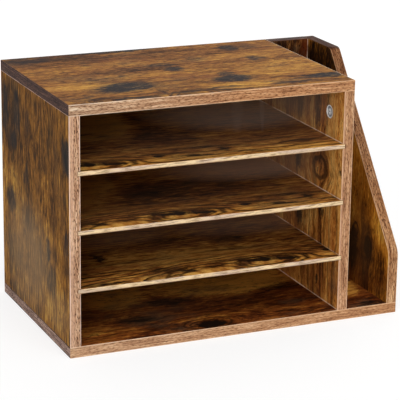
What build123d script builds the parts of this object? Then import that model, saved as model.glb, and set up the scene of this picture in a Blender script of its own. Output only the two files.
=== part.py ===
import os
from math import radians, tan

from build123d import *

# Driving sizes, in millimetres
board_thickness = 12.0
inner_width = 304.0
pocket_width = 51.0
cabinet_depth = 227.0
slot_height = 59.0
shelf_thickness = 5.0
shelf_names = ("lower_shelf", "middle_shelf", "upper_shelf")
band_thickness = 0.6

# Outer side panel: a low front edge, a slope and a flat top, with rounded corners
outer_front_height = 72.5
outer_top_flat = 69.0
outer_low_radius = 20.0
outer_high_radius = 10.0

# Grooves that carry the shelves, and the thin back board in its own grooves
shelf_groove_depth = 3.0
shelf_end_gap = 0.5
shelf_top_gap = 0.3
shelf_rear_gap = 0.5
back_thickness = 3.0
back_inset = 8.0
back_groove_depth = 3.0
back_side_gap = 0.1
back_end_gap = 0.4

# Cam lock, a disc in a board's face that holds the head of a bolt
cam_diameter = 15.0
cam_floor = 2.6
cam_reach = 30.0
cam_edge_inset = 34.0
cam_cavity_radius = 4.4
cam_rim_width = 1.1
cam_face_recess = 0.4
cam_cross_length = 7.0
cam_cross_width = 1.5
cam_cross_floor = 0.7
cam_mark_radius = 1.1
cam_entry_angle = 60.0
cam_turn_angle = 110.0

# Heights of the two cam locks behind the pocket, from the base board and from the top
pocket_cam_low = 45.0
pocket_cam_high = 40.0

# Cam bolt, screwed into one board and caught by a cam lock in the next
bolt_thread_diameter = 5.0
bolt_thread_floor = 4.0
bolt_thread_pitch = 1.6
bolt_thread_height = 0.55
bolt_shaft_diameter = 6.0
bolt_neck_diameter = 4.4
bolt_head_diameter = 6.4
bolt_head_length = 4.0
bolt_head_edge = 0.8

# Wooden dowel, fluted and bevelled at the ends
dowel_diameter = 6.0
dowel_length = 28.0
dowel_flutes = 10
dowel_flute_radius = 0.35
dowel_end_bevel = 0.9
dowel_floor = 5.0

# Heights of the two dowels behind the pocket, from the base board and from the top
pocket_dowel_low = 80.0
pocket_dowel_high = 80.0

# Screw up through the base board
screw_diameter = 4.0
screw_core_diameter = 2.8
screw_length = 35.0
screw_head_diameter = 8.0
screw_head_angle = 90.0
screw_thread_pitch = 2.0
screw_tip_length = 4.0
screw_recess_depth = 1.8
screw_recess_length = 4.2
screw_recess_width = 0.9
screw_sink = 0.1

# Fits
bore_clearance = 0.2
thread_clearance = 0.1
bore_end_gap = 0.5

# Sizes worked out from the driving ones
shelf_count = len(shelf_names)
slot_count = shelf_count + 1
overall_width = 3 * board_thickness + inner_width + pocket_width
upright_height = slot_count * slot_height + shelf_count * shelf_thickness
overall_height = upright_height + 2 * board_thickness
half_board = board_thickness / 2
core_depth = cabinet_depth - 2 * band_thickness

# Faces of the assembly: X to the right, the open front towards -Y, Z up
left = -overall_width / 2
right = overall_width / 2
front = -cabinet_depth / 2
rear = cabinet_depth / 2
slot_left = left + board_thickness
slot_right = slot_left + inner_width
divider_right = slot_right + board_thickness
pocket_right = divider_right + pocket_width
base_top = board_thickness
top_underside = overall_height - board_thickness
back_front = rear - back_inset - back_thickness

# Middles of boards, slots and bands
left_panel_mid = left + half_board
divider_mid = slot_right + half_board
outer_panel_mid = right - half_board
slot_mid = (slot_left + slot_right) / 2
pocket_mid = (divider_right + pocket_right) / 2
pocket_back_mid = rear - half_board
back_mid = back_front + back_thickness / 2
top_width = divider_right - left
top_mid = (left + divider_right) / 2
band_front = front + band_thickness / 2
band_rear = rear - band_thickness / 2
band_half = band_thickness / 2

# Bores
bolt_bore = bolt_shaft_diameter / 2 + bore_clearance
thread_bore = bolt_thread_diameter / 2 + thread_clearance
dowel_bore = dowel_diameter / 2 + thread_clearance
cam_bore = cam_diameter / 2 + thread_clearance
screw_bore = screw_diameter / 2 + thread_clearance
screw_head_bore = screw_head_diameter / 2 + bore_clearance

# Depths: a fastener in a board's face leaves the floor named above
cam_height = board_thickness - cam_floor
bolt_thread_length = board_thickness - bolt_thread_floor
dowel_face_depth = board_thickness - dowel_floor
dowel_edge_depth = dowel_length - dowel_face_depth
screw_edge_depth = screw_length - board_thickness

# Directions out of a board's face
up = (0, 0, 1)
down = (0, 0, -1)
rightward = (1, 0, 0)
leftward = (-1, 0, 0)
backward = (0, 1, 0)


def planes(points, outward, along=None):
    """A plane at each point, its Z out of the board's face there."""
    return [Plane(point, x_dir=along, z_dir=outward) for point in points]


# Fastener places, each with its Z out of the board that carries it
joint_rows = (front + cam_edge_inset, rear - cam_edge_inset)
cam_level = top_underside - cam_reach
pocket_cam_levels = (base_top + pocket_cam_low, overall_height - pocket_cam_high)
pocket_dowel_levels = (base_top + pocket_dowel_low, overall_height - pocket_dowel_high)
left_cam_places = planes([(slot_left, y, cam_level) for y in joint_rows], rightward, along=up)
divider_cam_places = planes([(slot_right, y, cam_level) for y in joint_rows], leftward, along=up)
pocket_cam_places = planes(
    [(pocket_right - cam_reach, rear, z) for z in pocket_cam_levels], backward, along=rightward
)
top_bolt_places = planes(
    [(x, y, top_underside) for x in (left_panel_mid, divider_mid) for y in joint_rows], down
)
outer_bolt_places = planes([(pocket_right, pocket_back_mid, z) for z in pocket_cam_levels], leftward)
top_dowel_places = planes([(x, 0, top_underside) for x in (left_panel_mid, divider_mid)], down)
base_dowel_places = planes([(x, 0, base_top) for x in (left_panel_mid, divider_mid, outer_panel_mid)], up)
pocket_dowel_places = planes([(divider_right, pocket_back_mid, z) for z in pocket_dowel_levels], rightward)
screw_points = [(x, y) for x in (left_panel_mid, divider_mid, outer_panel_mid) for y in joint_rows]
screw_points.append((pocket_mid, pocket_back_mid))

os.makedirs("parts", exist_ok=True)


def finish(builder, name):
    """Give a finished piece its name and write it."""
    builder.part.label = name
    export_step(builder.part, f"parts/{name}.step")


def shelf_floor(number):
    """Height of the underside of a shelf, counted from the lowest."""
    return base_top + (number + 1) * slot_height + number * shelf_thickness


def strip(name, size, middle, bottom):
    """A straight edge band, upright or level."""
    with BuildPart() as band:
        with BuildSketch(Plane.XY.offset(bottom)):
            with Locations(middle):
                Rectangle(size[0], size[1])
        extrude(amount=size[2])
    finish(band, name)


def cut_box(size, middle, bottom):
    """Take a level box away from the piece in hand."""
    with Locations((middle[0], middle[1], bottom)):
        Box(*size, align=(Align.CENTER, Align.CENTER, Align.MIN), mode=Mode.SUBTRACT)


def cut_shelf_grooves(face_x, inward):
    """Level grooves for the shelves in an upright's face, open at its front edge."""
    for number in range(shelf_count):
        cut_box(
            (shelf_groove_depth, back_front - front, shelf_thickness + shelf_top_gap),
            (face_x + inward * shelf_groove_depth / 2, (front + back_front) / 2),
            shelf_floor(number),
        )


def cut_back_groove(face_x, inward):
    """Upright groove in an upright's face for one end of the thin back board."""
    cut_box(
        (back_groove_depth, back_thickness + 2 * back_side_gap, upright_height),
        (face_x + inward * back_groove_depth / 2, back_mid),
        base_top,
    )


def cut_long_back_groove(bottom):
    """Groove across the base or the top board for the thin back board."""
    cut_box(
        (inner_width + 2 * back_groove_depth, back_thickness + 2 * back_side_gap, back_groove_depth),
        (slot_mid, back_mid),
        bottom,
    )


def drill(places, radius, depth):
    """Bores into a board's face at these planes."""
    with Locations(*places):
        Hole(radius, depth=depth)


def drill_foot(middle_x):
    """Bores in an upright's lower edge for two screws and a dowel."""
    screw_places = planes([(middle_x, y, base_top) for y in joint_rows], down)
    drill(screw_places, screw_bore, screw_edge_depth + bore_end_gap)
    drill(planes([(middle_x, 0, base_top)], down), dowel_bore, dowel_edge_depth + bore_end_gap)


def drill_head(middle_x, cam_places):
    """Bores at an upright's upper edge for two cam bolts, their cam locks and a dowel."""
    drill(planes([(middle_x, y, top_underside) for y in joint_rows], up), bolt_bore, cam_reach)
    drill(cam_places, cam_bore, cam_height + thread_clearance)
    drill(planes([(middle_x, 0, top_underside)], up), dowel_bore, dowel_edge_depth + bore_end_gap)


# Base board, which carries every upright
with BuildPart() as base_board:
    with BuildSketch():
        Rectangle(overall_width - 2 * band_thickness, core_depth)
    extrude(amount=board_thickness)
    cut_long_back_groove(base_top - back_groove_depth)
    drill(base_dowel_places, dowel_bore, dowel_face_depth + bore_end_gap)
    with Locations(*planes([(x, y, 0) for x, y in screw_points], down)):
        CounterSinkHole(screw_bore, screw_head_bore, board_thickness, screw_head_angle)
finish(base_board, "base_board")

# Left side panel, between the base and the top board
with BuildPart() as left_side_panel:
    with BuildSketch(Plane.XY.offset(base_top)):
        with Locations((left_panel_mid, 0)):
            Rectangle(board_thickness, core_depth)
    extrude(amount=upright_height)
    cut_shelf_grooves(slot_left, -1)
    cut_back_groove(slot_left, -1)
    drill_foot(left_panel_mid)
    drill_head(left_panel_mid, left_cam_places)
finish(left_side_panel, "left_side_panel")

# Divider between the paper slots and the side pocket
with BuildPart() as divider_panel:
    with BuildSketch(Plane.XY.offset(base_top)):
        with Locations((divider_mid, 0)):
            Rectangle(board_thickness, core_depth)
    extrude(amount=upright_height)
    cut_shelf_grooves(slot_right, 1)
    cut_back_groove(slot_right, 1)
    drill_foot(divider_mid)
    drill_head(divider_mid, divider_cam_places)
    drill(pocket_dowel_places, dowel_bore, dowel_face_depth + bore_end_gap)
finish(divider_panel, "divider_panel")

# Top board, which covers the left panel and the divider
with BuildPart() as top_board:
    with BuildSketch(Plane.XY.offset(top_underside)):
        with Locations((top_mid, 0)):
            Rectangle(top_width - 2 * band_thickness, core_depth)
    extrude(amount=board_thickness)
    cut_long_back_groove(top_underside)
    drill(top_bolt_places, thread_bore, bolt_thread_length + bore_end_gap)
    drill(top_dowel_places, dowel_bore, dowel_face_depth + bore_end_gap)
finish(top_board, "top_board")


def outer_outline(rear_edge, bottom_edge):
    """Side view of the outer panel: low front, slope, flat top, two rounded corners."""
    with BuildSketch() as outline:
        with BuildLine():
            Polyline(
                (front, bottom_edge),
                (front, outer_front_height),
                (rear - outer_top_flat, overall_height),
                (rear_edge, overall_height),
                (rear_edge, bottom_edge),
                close=True,
            )
        make_face()
        low_corner = outline.vertices().group_by(Axis.X)[0].sort_by(Axis.Y)[-1]
        fillet(low_corner, outer_low_radius)
        high_corner = outline.vertices().group_by(Axis.Y)[-1].sort_by(Axis.X)[0]
        fillet(high_corner, outer_high_radius)
    return outline.sketch


# The outer panel's core is its outline drawn in by the band, except along the bottom
outer_core = offset(outer_outline(rear, base_top - band_thickness), amount=-band_thickness)

# Outer side panel of the pocket
with BuildPart() as outer_side_panel:
    with BuildSketch(Plane.YZ.offset(pocket_right)):
        add(outer_core)
    extrude(amount=board_thickness)
    drill_foot(outer_panel_mid)
    drill(outer_bolt_places, thread_bore, bolt_thread_length + bore_end_gap)
finish(outer_side_panel, "outer_side_panel")

# Back panel of the side pocket
with BuildPart() as side_back_panel:
    with BuildSketch(Plane.XY.offset(base_top)):
        with Locations((pocket_mid, pocket_back_mid)):
            Rectangle(pocket_width, board_thickness)
    extrude(amount=overall_height - base_top - band_thickness)
    pocket_screw_place = planes([(pocket_mid, pocket_back_mid, base_top)], down)
    drill(pocket_screw_place, screw_bore, screw_edge_depth + bore_end_gap)
    drill(planes([plane.origin for plane in outer_bolt_places], rightward), bolt_bore, cam_reach)
    drill(pocket_cam_places, cam_bore, cam_height + thread_clearance)
    drill(
        planes([plane.origin for plane in pocket_dowel_places], leftward),
        dowel_bore,
        dowel_edge_depth + bore_end_gap,
    )
finish(side_back_panel, "side_back_panel")

# Thin back board behind the paper slots, held in grooves on all four sides
with BuildPart() as back_board:
    with BuildSketch(Plane.XY.offset(base_top - back_groove_depth)):
        with Locations((slot_mid, back_mid)):
            Rectangle(inner_width + 2 * (back_groove_depth - back_end_gap), back_thickness)
    extrude(amount=upright_height + 2 * back_groove_depth - back_end_gap)
finish(back_board, "back_board")

# Thin shelves, each lying in a pair of grooves and sliding out to the front
shelf_length = inner_width + 2 * (shelf_groove_depth - shelf_end_gap)
shelf_rear = back_front - shelf_rear_gap
for shelf_number, shelf_name in enumerate(shelf_names):
    with BuildPart() as shelf:
        with BuildSketch(Plane.XY.offset(shelf_floor(shelf_number))):
            with Locations((slot_mid, (front + shelf_rear) / 2)):
                Rectangle(shelf_length, shelf_rear - front)
        extrude(amount=shelf_thickness)
    finish(shelf, shelf_name)

# Edge bands of the base board
across_base = (overall_width, band_thickness, board_thickness)
along_board = (band_thickness, core_depth, board_thickness)
strip("base_front_band", across_base, (0, band_front), 0)
strip("base_rear_band", across_base, (0, band_rear), 0)
strip("base_left_band", along_board, (left + band_half, 0), 0)
strip("base_right_band", along_board, (right - band_half, 0), 0)

# Edge bands of the top board
across_top = (top_width, band_thickness, board_thickness)
strip("top_front_band", across_top, (top_mid, band_front), top_underside)
strip("top_rear_band", across_top, (top_mid, band_rear), top_underside)
strip("top_left_band", along_board, (left + band_half, 0), top_underside)
strip("top_right_band", along_board, (divider_right - band_half, 0), top_underside)

# Rear edge bands of the uprights, and the band on top of the pocket's back panel
upright_band = (board_thickness, band_thickness, upright_height)
outer_band = (board_thickness, band_thickness, overall_height - base_top)
pocket_top_band = (pocket_width, board_thickness, band_thickness)
strip("left_panel_rear_band", upright_band, (left_panel_mid, band_rear), base_top)
strip("divider_rear_band", upright_band, (divider_mid, band_rear), base_top)
strip("outer_panel_rear_band", outer_band, (outer_panel_mid, band_rear), base_top)
strip("side_back_top_band", pocket_top_band, (pocket_mid, pocket_back_mid), overall_height - band_thickness)


def notched_strip(name, middle_x, face_x, inward):
    """Front edge band of an upright, notched where the shelf grooves run out."""
    with BuildPart() as band:
        with BuildSketch(Plane.XY.offset(base_top)):
            with Locations((middle_x, band_front)):
                Rectangle(board_thickness, band_thickness)
        extrude(amount=upright_height)
        cut_shelf_grooves(face_x, inward)
    finish(band, name)


notched_strip("left_panel_front_band", left_panel_mid, slot_left, -1)
notched_strip("divider_front_band", divider_mid, slot_right, 1)

# One strip bent over the front, slope and top of the outer panel
with BuildPart() as outer_panel_front_band:
    with BuildSketch(Plane.YZ.offset(pocket_right)):
        add(outer_outline(rear - band_thickness, base_top))
        add(outer_core, mode=Mode.SUBTRACT)
    extrude(amount=board_thickness)
finish(outer_panel_front_band, "outer_panel_front_band")


def pie(radius, start, sweep):
    """A slice of a disc, from one angle through another."""
    with BuildSketch() as slice_sketch:
        with BuildLine():
            rim = CenterArc((0, 0), radius, start, sweep)
            Line((0, 0), rim @ 0)
            Line(rim @ 1, (0, 0))
        make_face()
    return slice_sketch.sketch


# Cam lock on its own axis: face at Z 0 and body below, the bolt comes in along +X at half a board's depth
neck_slot = bolt_neck_diameter + 2 * bore_clearance
cam_plate = half_board - bolt_head_diameter / 2 - bore_clearance
cam_radius = cam_diameter / 2
with BuildPart() as cam_lock:
    with BuildSketch(Plane.XY.offset(-cam_height)):
        Circle(cam_radius)
    extrude(amount=cam_height)
    with BuildSketch(Plane.XY.offset(-cam_face_recess)):
        Circle(cam_radius - cam_rim_width)
        with Locations((cam_radius - cam_rim_width - 2 * cam_mark_radius, 0)):
            RegularPolygon(cam_mark_radius, 3, mode=Mode.SUBTRACT)
    extrude(amount=cam_face_recess, mode=Mode.SUBTRACT)
    with BuildSketch(Plane.XY.offset(cam_cross_floor - cam_plate)):
        Rectangle(cam_cross_length, cam_cross_width)
        Rectangle(cam_cross_width, cam_cross_length)
    extrude(amount=cam_plate - cam_cross_floor, mode=Mode.SUBTRACT)
    with BuildSketch(Plane.XY.offset(-cam_height)):
        Circle(cam_cavity_radius)
        add(pie(cam_diameter, cam_turn_angle - cam_entry_angle / 2, cam_entry_angle))
    extrude(amount=cam_height - cam_plate, mode=Mode.SUBTRACT)
    with BuildSketch(Plane.XY.offset(-half_board - neck_slot / 2)):
        add(pie(cam_diameter, -cam_entry_angle / 2, cam_turn_angle + cam_entry_angle))
    extrude(amount=neck_slot, mode=Mode.SUBTRACT)

# Cam bolt on its own axis: joint face at Z 0, thread below, head at the cam lock above
bolt_head_top = cam_reach + bolt_head_length / 2
bolt_head_foot = cam_reach - bolt_head_length / 2
bolt_shaft_end = cam_reach - cam_radius - bore_clearance
bolt_thread_turns = round(bolt_thread_length / bolt_thread_pitch)
bolt_turn = bolt_thread_length / bolt_thread_turns
bolt_crest = bolt_thread_diameter / 2
bolt_outline = [(0, -bolt_thread_length)]
for thread_turn in range(bolt_thread_turns):
    turn_start = thread_turn * bolt_turn - bolt_thread_length
    bolt_outline.append((bolt_crest - bolt_thread_height, turn_start))
    bolt_outline.append((bolt_crest, turn_start + bolt_turn / 2))
bolt_outline.append((bolt_crest - bolt_thread_height, 0))
bolt_outline.append((bolt_shaft_diameter / 2, 0))
bolt_outline.append((bolt_shaft_diameter / 2, bolt_shaft_end))
bolt_outline.append((bolt_neck_diameter / 2, bolt_shaft_end))
bolt_outline.append((bolt_neck_diameter / 2, bolt_head_foot))
bolt_outline.append((bolt_head_diameter / 2, bolt_head_foot))
bolt_outline.append((bolt_head_diameter / 2, bolt_head_top - bolt_head_edge))
bolt_outline.append((bolt_head_diameter / 2 - bolt_head_edge, bolt_head_top))
bolt_outline.append((0, bolt_head_top))
with BuildPart() as cam_bolt:
    with BuildSketch(Plane.XZ):
        with BuildLine():
            Polyline(*bolt_outline, close=True)
        make_face()
    revolve(axis=Axis.Z)

# Wooden dowel on its own axis: joint face at Z 0, the short end below
dowel_radius = dowel_diameter / 2
with BuildPart() as wooden_dowel:
    with BuildSketch(Plane.XY.offset(-dowel_face_depth)):
        Circle(dowel_radius)
        with PolarLocations(dowel_radius, dowel_flutes):
            Circle(dowel_flute_radius, mode=Mode.SUBTRACT)
    extrude(amount=dowel_length)
    with BuildSketch(Plane.XZ):
        with BuildLine():
            Polyline(
                (0, -dowel_face_depth),
                (dowel_radius - dowel_end_bevel, -dowel_face_depth),
                (dowel_radius, dowel_end_bevel - dowel_face_depth),
                (dowel_radius, dowel_edge_depth - dowel_end_bevel),
                (dowel_radius - dowel_end_bevel, dowel_edge_depth),
                (0, dowel_edge_depth),
                close=True,
            )
        make_face()
    revolve(axis=Axis.Z, mode=Mode.INTERSECT)

# Base screw on its own axis: flat of the head at Z 0, tip below
screw_head_height = (screw_head_diameter - screw_diameter) / 2 / tan(radians(screw_head_angle / 2))
screw_thread_start = screw_head_height + screw_thread_pitch / 2
screw_thread_length = screw_length - screw_tip_length - screw_thread_start
screw_thread_turns = round(screw_thread_length / screw_thread_pitch)
screw_turn = screw_thread_length / screw_thread_turns
screw_outline = [(0, 0), (screw_head_diameter / 2, 0), (screw_diameter / 2, -screw_head_height)]
screw_outline.append((screw_core_diameter / 2, -screw_thread_start))
for thread_turn in range(screw_thread_turns):
    turn_start = screw_thread_start + thread_turn * screw_turn
    screw_outline.append((screw_diameter / 2, -turn_start - screw_turn / 2))
    screw_outline.append((screw_core_diameter / 2, -turn_start - screw_turn))
screw_outline.append((0, -screw_length))
with BuildPart() as base_screw:
    with BuildSketch(Plane.XZ):
        with BuildLine():
            Polyline(*screw_outline, close=True)
        make_face()
    revolve(axis=Axis.Z)
    with BuildSketch():
        Rectangle(screw_recess_length, screw_recess_width)
        Rectangle(screw_recess_width, screw_recess_length)
    extrude(amount=-screw_recess_depth, mode=Mode.SUBTRACT)

# Cam locks, flush in the faces of the left panel, the divider and the pocket's back panel
with BuildPart() as cam_locks:
    with Locations(*left_cam_places, *divider_cam_places, *pocket_cam_places):
        add(cam_lock.part)
finish(cam_locks, "cam_locks")

# Cam bolts: four hang from the top board, two stand out of the outer panel
with BuildPart() as cam_bolts:
    with Locations(*top_bolt_places, *outer_bolt_places):
        add(cam_bolt.part)
finish(cam_bolts, "cam_bolts")

# Dowels: the short end in a board's face, the long end in the next board's edge
with BuildPart() as wooden_dowels:
    with Locations(*top_dowel_places, *base_dowel_places, *pocket_dowel_places):
        add(wooden_dowel.part)
finish(wooden_dowels, "wooden_dowels")

# Screws from below, their heads a little under the base board's lower face
with BuildPart() as base_screws:
    with Locations(*planes([(x, y, screw_sink) for x, y in screw_points], down)):
        add(base_screw.part)
finish(base_screws, "base_screws")
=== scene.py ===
import math
from types import SimpleNamespace

import bpy
from mathutils import Matrix, Vector


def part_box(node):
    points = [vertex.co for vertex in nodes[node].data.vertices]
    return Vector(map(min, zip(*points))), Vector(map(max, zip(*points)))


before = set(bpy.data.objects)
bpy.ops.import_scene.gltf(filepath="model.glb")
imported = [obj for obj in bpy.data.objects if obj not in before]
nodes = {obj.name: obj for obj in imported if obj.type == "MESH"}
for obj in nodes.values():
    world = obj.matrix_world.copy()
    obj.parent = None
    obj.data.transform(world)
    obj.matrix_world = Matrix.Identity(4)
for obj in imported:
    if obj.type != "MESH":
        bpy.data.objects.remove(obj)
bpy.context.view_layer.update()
millimetre = 0.001
print("frame loaded:", len(nodes), "pieces")


def linearColour(hexText):
    # sRGB hex, as a colour picker shows it, to the linear colour that the shader needs
    channels = [int(hexText[i:i + 2], 16) / 255 for i in (1, 3, 5)]
    return [c / 12.92 if c <= 0.04045 else ((c + 0.055) / 1.055) ** 2.4 for c in channels] + [1]


def addNode(tree, kind, settings=None, stops=None):
    # kind is a shader node, with its operation behind a space; settings are the node's own options, and the
    # values, colours or links of its sockets, by name or number
    kind, space, operation = kind.partition(" ")
    node = tree.nodes.new("ShaderNode" + kind)
    if operation:
        node.operation = operation
    if kind == "Mix":
        node.data_type = "RGBA"     # only colours are mixed here
    forSockets = dict(settings or {})
    for key in [k for k in forSockets if isinstance(k, str) and hasattr(node, k)]:
        setattr(node, key, forSockets.pop(key))
    if stops:
        ramp = node.color_ramp
        while len(ramp.elements) < len(stops):
            ramp.elements.new(1)
        for element, (place, colour) in zip(ramp.elements, stops):
            element.position = place
            element.color = linearColour(colour)
    sockets = [s for s in node.inputs if s.enabled]
    byName = {s.name: s for s in reversed(sockets)}
    for key, value in forSockets.items():
        socket = sockets[key] if isinstance(key, int) else byName[key]
        if isinstance(value, bpy.types.Node):
            value = next(s for s in value.outputs if s.enabled)
        if isinstance(value, bpy.types.NodeSocket):
            tree.links.new(value, socket)
        elif isinstance(value, str):
            socket.default_value = linearColour(value)
        else:
            socket.default_value = value
    return node


def newMaterial(name):
    material = bpy.data.materials.new(name)
    material.use_nodes = True
    material.node_tree.nodes.clear()
    return material, material.node_tree


def dress(node, material, surface):
    # the piece gets the material, which ends in a shader with these settings
    tree = material.node_tree
    addNode(tree, "OutputMaterial", {"Surface": addNode(tree, "BsdfPrincipled", surface)})
    nodes[node].data.materials.clear()
    nodes[node].data.materials.append(material)


def boardPlaces(tree, node, axes):
    # millimetres from the piece's low corner: along the grain, across it, and through the thickness
    coords = addNode(tree, "TexCoord")
    low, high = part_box(node)
    fromCorner = addNode(tree, "VectorMath SUBTRACT", {1: low, 0: coords.outputs["Object"]})
    scaled = addNode(tree, "VectorMath SCALE", {"Scale": 1 / millimetre, 0: fromCorner})
    split = addNode(tree, "SeparateXYZ", {0: scaled})
    ordered = [split.outputs["xyz".index(letter)] for letter in axes]
    normals = addNode(tree, "SeparateXYZ", {0: coords.outputs["Normal"]})
    facing = addNode(tree, "Math ABSOLUTE", {0: normals.outputs["xyz".index(axes[2])]})
    size = [(high - low)["xyz".index(letter)] / millimetre for letter in axes]
    return ordered, facing, size


noiseDepth = 5                  # millimetres of thickness in which a print's noise changes


def stretchedNoise(tree, along, across, depth, cell, detail, roughness=0.5, distortion=0):
    # noise drawn out along the grain, by the length and width of its cells in millimetres
    parts = []
    for source, size in zip((along, across, depth), (*cell, noiseDepth)):
        parts.append(addNode(tree, "Math DIVIDE", {1: size, 0: source}))
    place = addNode(tree, "CombineXYZ", dict(enumerate(parts)))
    return addNode(tree, "TexNoise", {
        "Scale": 1, "Detail": detail, "Roughness": roughness, "Distortion": distortion, "Vector": place})


def combined(tree, kind, layers):
    # the layers joined one by one by the same node
    whole = layers[0] if layers else None
    for layer in layers[1:]:
        whole = addNode(tree, kind, {0: whole, 1: layer})
    return whole


def layered(tree, layers, middle):
    # the layers' sum by weight, averaging at middle, since noise averages one half
    total = addNode(tree, "Value")
    total.outputs[0].default_value = middle - sum(weight for layer, weight in layers) / 2
    for layer, weight in layers:
        total = addNode(tree, "Math MULTIPLY_ADD", {1: weight, 0: layer, 2: total})
    return total


def softMask(tree, source, span, strength=1):
    # rises softly from 0 to the strength, where the source goes from the span's start to its end
    return addNode(tree, "MapRange", {
        "interpolation_type": "SMOOTHSTEP", "From Min": span[0], "From Max": span[1], "To Max": strength,
        "Value": source})


def coated(tree, colour, coats):
    # each coat covers what lies under it where its mask is 1
    for coat, mask in coats:
        colour = addNode(tree, "Mix", {"B": coat, "Factor": mask, "A": colour})
    return colour


def printTones(*colours):
    # five colours of a print, dark to light, at the places on its brightness that all boards share
    return list(zip((0.0, 0.22, 0.48, 0.74, 1.0), colours))


# Rustic wood print: old boards printed on paper and sealed under satin melamine.
# It gives mottled golden brown, dark growth lines that flow round knots, and ragged worn patches near black.
# Real fibres and pores are about 0.3 mm wide, too fine to show, so they are drawn 2 to 4 mm wide.
# Lengths and widths are millimetres along and across the grain.
woodPrint = {
    "stops": printTones("#27150B", "#513118", "#865529", "#B07A37", "#D2A255"),
    "redTint": "#7C4526",
    "greyTint": "#5A4A38",
    "tints": 0.6,               # how far the two tints cover the tone
    "tint clouds": (("redTint", 90, 30, 0.5), ("greyTint", 70, 40, 0.52)),  # length, width, start
    "tintFull": 0.72,           # where in the clouds' noise they reach that
    "worn": "#211C1C",
    "flame": "#1C0F07",         # of the growth lines, flecks and knot rings
    "core": "#B99A6C",          # the particle board that cuts and bores lay bare
    "coreDark": "#7D6240",
    "edgeStreaks": None,        # size of the streaks on a thin board's edge; None gives pressed chips
    "toneSize": (62, 25),       # this and the other sizes are length and width
    "toneWeight": 1.5,
    "streakSize": (95, 4.5),
    "streakWeight": 0.9,
    "fibreSize": (9, 2.4),
    "fibreWeight": 1.4,
    "plankWidth": 11,
    "planks": 0.1,
    "midTone": 0.52,            # the print's average brightness, which lift changes
    "lift": 0.0,
    "waveSize": (120, 40),
    "wave": 3.5,
    "lineSpacing": 12,
    "lineWander": 4.5,
    "knotDip": 0,
    "lineStart": 0.45,          # where in its spacing a line begins to darken
    "lineFull": 0.95,
    "hillSize": (100, 32),
    "breakSize": (60, 8),
    "lines": 0.6,
    "lineSpan": (0.55, 0.66),   # of the noise in which the lines appear
    "line zones": [],           # where the growth lines show strongly
    "zoneGain": 0.26,
    "flecks": 0.75,
    "fleckSpan": (0.79, 0.9),
    "fleckSize": (8, 2),
    "clusterSize": (40, 16),
    "clusterWeight": 0.45,
    "worn patches": [],
    "patchSoft": 0.35,          # how softly they end, as a share of their size
    "scatter": 0.85,            # the worn patches on the far side
    "scatterSpan": (0.58, 0.66),
    "scatterSize": (62, 30),
    "ragged": (38, 20, 0),      # how far the marks' outlines wander
    "raggedSize": (16, 8),
    # the print's golden figure, and in the slots painted light that lifts their shade
    "golden and painted light patches": [],
    "brown patches": [],
    "patchTone": 0.35,          # what a golden or brown patch adds or takes at strength 1
    "sheen and dust patches": [],        # a soft pale haze, as at the rear of the slots: a painted reflection of the satin face, with some dust
    "sheenAndDustSoft": 0.6,
    "sheenAndDust": "#9A8E84",
    "cut from": 0,              # where along the printed sheet the piece begins
    "knots": [],                # place along and across, length, width
    "ringSway": (14, 9, 0),
    "swaySize": (46, 18),
    "knotRings": [(0.0, "#B0B0B0"), (0.18, "#707070"), (0.5, "#606060"), (0.68, "#F0F0F0"),
                  (0.88, "#F0F0F0"), (1.0, "#000000")],
    "lips along": [],           # pale lips where the paper was cut through
    "highlight lines across": [],
    "lipColour": "#E6CDB4",
    "lipWander": 1.4,
    "roughness": (0.62, 0.5),
    "specular": 0.03,
    "emboss": 0.00012,
}
seedStep = 317                  # millimetres between two boards' places in the noise
markDepth = 9                   # millimetres that a placed mark reaches through the board
markEdge = 0.95                 # where its edge is halfway, as a share of its half size
markSoft = 0.35
knotReach = {                   # in half sizes of the knot, from its middle
    "bendStart": 2.4,
    "bendFull": 0.4,
    "bend": 0.35,               # share of the knot's width that the grain gives way
    "dipSpan": (1.3, 0.1),
}
sideShares = (0.3, 0.7)         # shares of the thickness between which the near side turns into the far one


def boardNoise(board, size, detail, roughness=0.5, across=None, distortion=0):
    # noise that follows the grain, or runs straight where across is given
    return stretchedNoise(
        board.tree, board.seeded, across or board.flow, board.depth, size, detail, roughness, distortion)


def wanderedPlace(board, size, detail, roughness, reach):
    # the place on the board, pushed about by noise
    noise = boardNoise(board, size, detail, roughness, board.across)
    centred = addNode(board.tree, "VectorMath SUBTRACT", {1: (0.5, 0.5, 0.5), 0: noise.outputs["Color"]})
    shift = addNode(board.tree, "VectorMath MULTIPLY", {1: reach, 0: centred})
    return addNode(board.tree, "VectorMath ADD", {0: board.plain, 1: shift})


def knotMarks(board):
    # each knot pushes the grain apart, so that the streaks flow round it, and has a dark ring round a paler
    # heart; where it also dips the height field, the growth lines close round it
    tree, given = board.tree, board.given
    flow = board.flow
    rings = []
    dip = addNode(tree, "Value")
    for a, b, length, width in given["knots"]:
        shape = {"vector_type": "TEXTURE", "Location": (a, b, board.faceDepth),
                 "Scale": (length / 2, width / 2, markDepth)}
        mapped = addNode(tree, "Mapping", {**shape, "Vector": board.plain})
        distance = addNode(tree, "VectorMath LENGTH", {0: mapped})
        near = addNode(tree, "MapRange", {
            "interpolation_type": "SMOOTHERSTEP", "From Min": knotReach["bendStart"],
            "From Max": knotReach["bendFull"], "To Max": width * knotReach["bend"], "Value": distance})
        sideways = addNode(tree, "SeparateXYZ", {0: mapped})
        push = addNode(tree, "Math MULTIPLY", {0: near, 1: sideways.outputs[1]})
        flow = addNode(tree, "Math SUBTRACT", {0: flow, 1: push})
        rough = addNode(tree, "Mapping", {**shape, "Vector": board.knotPlace})
        roughDistance = addNode(tree, "VectorMath LENGTH", {0: rough})
        dipHere = softMask(tree, roughDistance, knotReach["dipSpan"], -given["knotDip"])
        dip = addNode(tree, "Math ADD", {0: dip, 1: dipHere})
        rings.append(addNode(tree, "ValToRGB", {"Fac": roughDistance}, stops=given["knotRings"]))
    return flow, combined(tree, "Math MAXIMUM", rings), dip


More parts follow.
